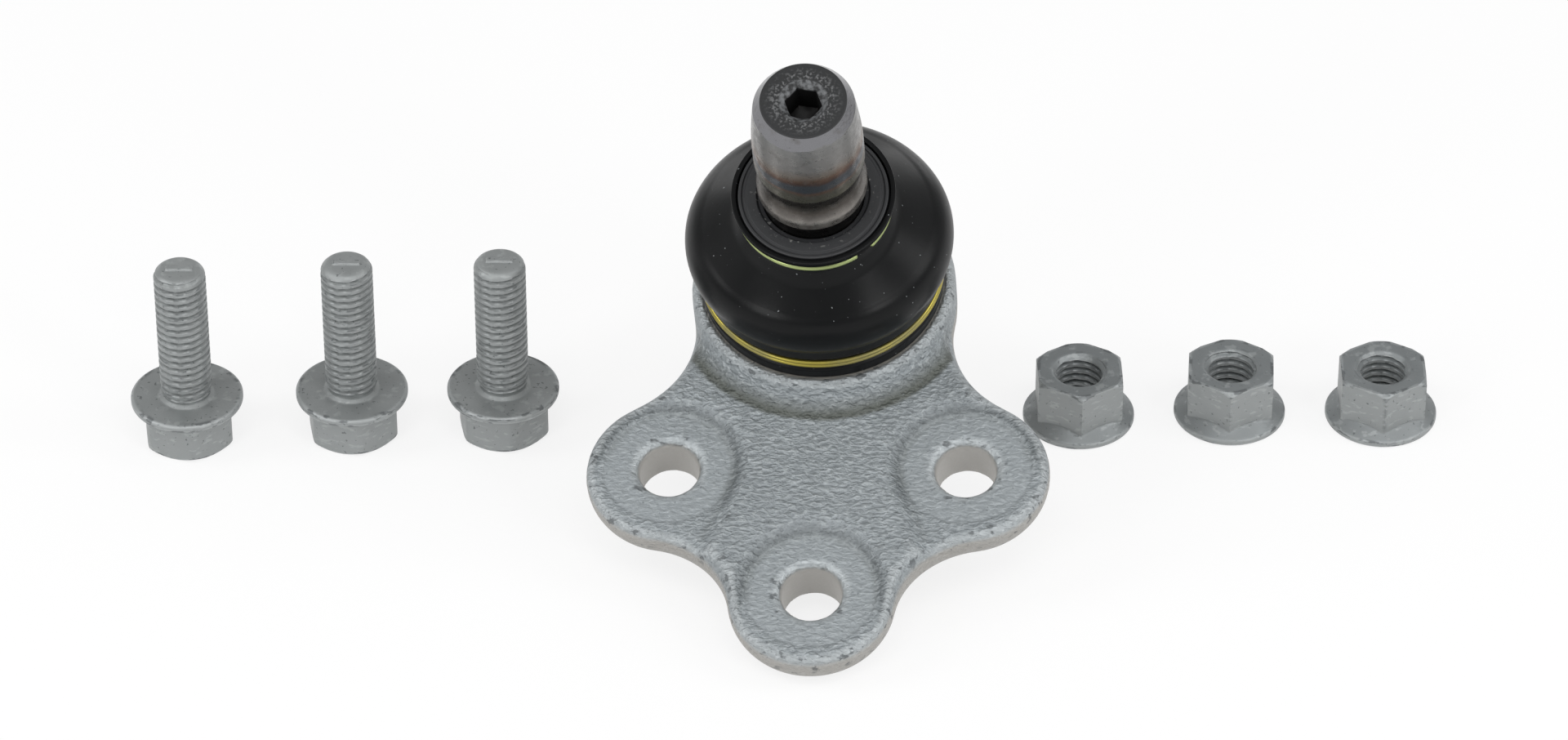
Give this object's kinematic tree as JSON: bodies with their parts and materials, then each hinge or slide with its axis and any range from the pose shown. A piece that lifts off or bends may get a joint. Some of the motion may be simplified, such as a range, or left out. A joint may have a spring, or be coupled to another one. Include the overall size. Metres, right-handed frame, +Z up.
{
  "type": "suspension ball joint",
  "caption": "Suspension ball joint with a lobed bolt-on flange, a bellied rubber dust boot and a pinch-groove stud, with its loose flange bolts and nuts standing beside it.",
  "frame": {"origin": "on the floor, at the centre of the box around the joint, its bolts and its nuts", "axes": "+Z up from the floor, +X to the right as the picture shows the set, +Y away from the viewer; the joint rests tipped forward on its front lobe and cup, turned and leaning as in the picture"},
  "size_m": [0.2478, 0.1018, 0.1013],
  "materials": {
    "coated_forging": "zinc flake coating over forged steel",
    "stud_steel": "ground alloy steel with heat tint",
    "bearing_plastic": "moulded acetal",
    "cover_steel": "pressed zinc coated steel",
    "boot_rubber": "satin black chloroprene",
    "seal_plastic": "black moulded plastic",
    "low_ring_wire": "yellow passivated spring wire",
    "up_ring_wire": "greenish passivated spring wire",
    "fastener_steel": "zinc flake coated steel"
  },
  "bodies": {
    "housing": {"housing": "coated_forging", "ball_seat_upper": "bearing_plastic", "ball_seat_lower": "bearing_plastic", "cover_plate": "cover_steel"},
    "boot": {"dust_boot": "boot_rubber", "boot_lower_ring": "low_ring_wire"},
    "collar": {"boot_upper_ring": "up_ring_wire", "stud_seal_ring": "seal_plastic"},
    "stud": {"ball_stud": "stud_steel"},
    "flange_bolt_1": {"flange_bolt_1": "fastener_steel"},
    "flange_bolt_2": {"flange_bolt_2": "fastener_steel"},
    "flange_bolt_3": {"flange_bolt_3": "fastener_steel"},
    "flange_nut_1": {"flange_nut_1": "fastener_steel"},
    "flange_nut_2": {"flange_nut_2": "fastener_steel"},
    "flange_nut_3": {"flange_nut_3": "fastener_steel"}
  },
  "joints": [
    {"name": "tilt_direction", "type": "hinge", "parent": "housing", "child": "boot", "pos_m": [0.00771, 0.02745, 0.02566], "axis": [-0.0593, -0.296, 0.9534], "continuous": true},
    {"name": "stud_tilt", "type": "hinge", "parent": "boot", "child": "collar", "pos_m": [0.00771, 0.02745, 0.02566], "axis": [0.9982, -0.0209, 0.0556], "range_deg": [-26.3, 13.7], "deforming": ["dust_boot"]},
    {"name": "stud_spin", "type": "hinge", "parent": "collar", "child": "stud", "pos_m": [0.00771, 0.02745, 0.02566], "axis": [-0.0593, -0.399, 0.915], "continuous": true},
    {"name": "bolt_1_lift", "type": "slide", "parent": "housing", "child": "flange_bolt_1", "axis": [0, 0, 1], "range_m": [0, 0.06]},
    {"name": "bolt_2_lift", "type": "slide", "parent": "housing", "child": "flange_bolt_2", "axis": [0, 0, 1], "range_m": [0, 0.06]},
    {"name": "bolt_3_lift", "type": "slide", "parent": "housing", "child": "flange_bolt_3", "axis": [0, 0, 1], "range_m": [0, 0.06]},
    {"name": "nut_1_lift", "type": "slide", "parent": "housing", "child": "flange_nut_1", "axis": [0, 0, 1], "range_m": [0, 0.06]},
    {"name": "nut_2_lift", "type": "slide", "parent": "housing", "child": "flange_nut_2", "axis": [0, 0, 1], "range_m": [0, 0.06]},
    {"name": "nut_3_lift", "type": "slide", "parent": "housing", "child": "flange_nut_3", "axis": [0, 0, 1], "range_m": [0, 0.06]}
  ]
}
